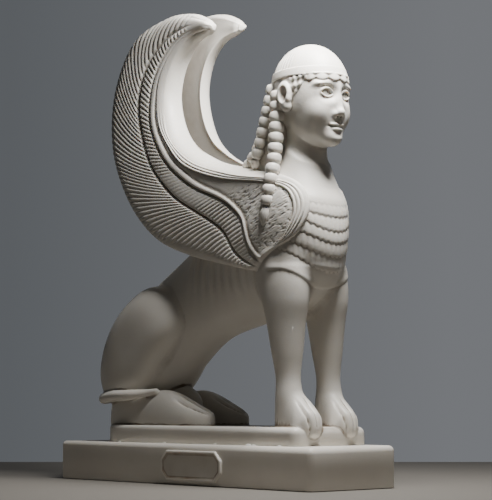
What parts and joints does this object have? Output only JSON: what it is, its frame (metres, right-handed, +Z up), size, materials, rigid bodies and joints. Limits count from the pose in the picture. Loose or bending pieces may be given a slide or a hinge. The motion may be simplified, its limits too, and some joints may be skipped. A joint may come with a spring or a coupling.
{
  "type": "sphinx statue",
  "caption": "Seated winged sphinx statue in cast pale stone, with a human head, beaded tresses and feathered wings, on a plain rectangular base with a blank plaque",
  "frame": {"origin": "middle of the base's underside, on the surface it stands on", "axes": "+Z up; the sphinx looks along -Y; +X is its left side; the plaque is on the -X face"},
  "size_m": [0.0542, 0.178, 0.228],
  "materials": {
    "figure_stone": "cast alabaster, satin matte, faint brown toning in the recesses",
    "base_stone": "cast alabaster, smooth and satin"
  },
  "bodies": {
    "root": {"base": "base_stone", "sphinx_figure": "figure_stone"}
  },
  "joints": []
}
